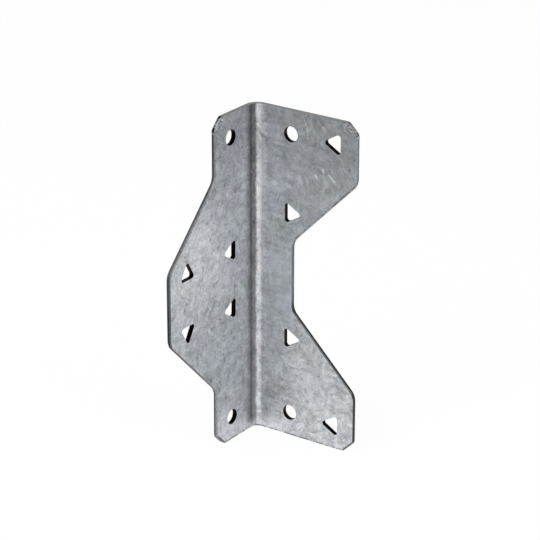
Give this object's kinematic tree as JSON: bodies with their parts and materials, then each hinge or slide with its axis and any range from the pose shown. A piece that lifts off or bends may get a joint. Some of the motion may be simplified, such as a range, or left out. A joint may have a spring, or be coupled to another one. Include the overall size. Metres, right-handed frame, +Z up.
{
  "type": "utility clip",
  "caption": "Folded sheet-metal framing clip with staggered legs, round screw holes and triangular nail holes.",
  "frame": {"origin": "middle of the base of the clip's box, on the surface that it stands on", "axes": "+Z up along the fold; +X from the fold along the notched leg; -Y from the fold along the bellied leg, so the angle opens to +X and -Y"},
  "size_m": [0.045, 0.0532, 0.127],
  "materials": {
    "galvanised_steel": "matte zinc coating with faint spangle, dark sheared edges"
  },
  "bodies": {
    "root": {"angle_clip": "galvanised_steel"}
  },
  "joints": []
}
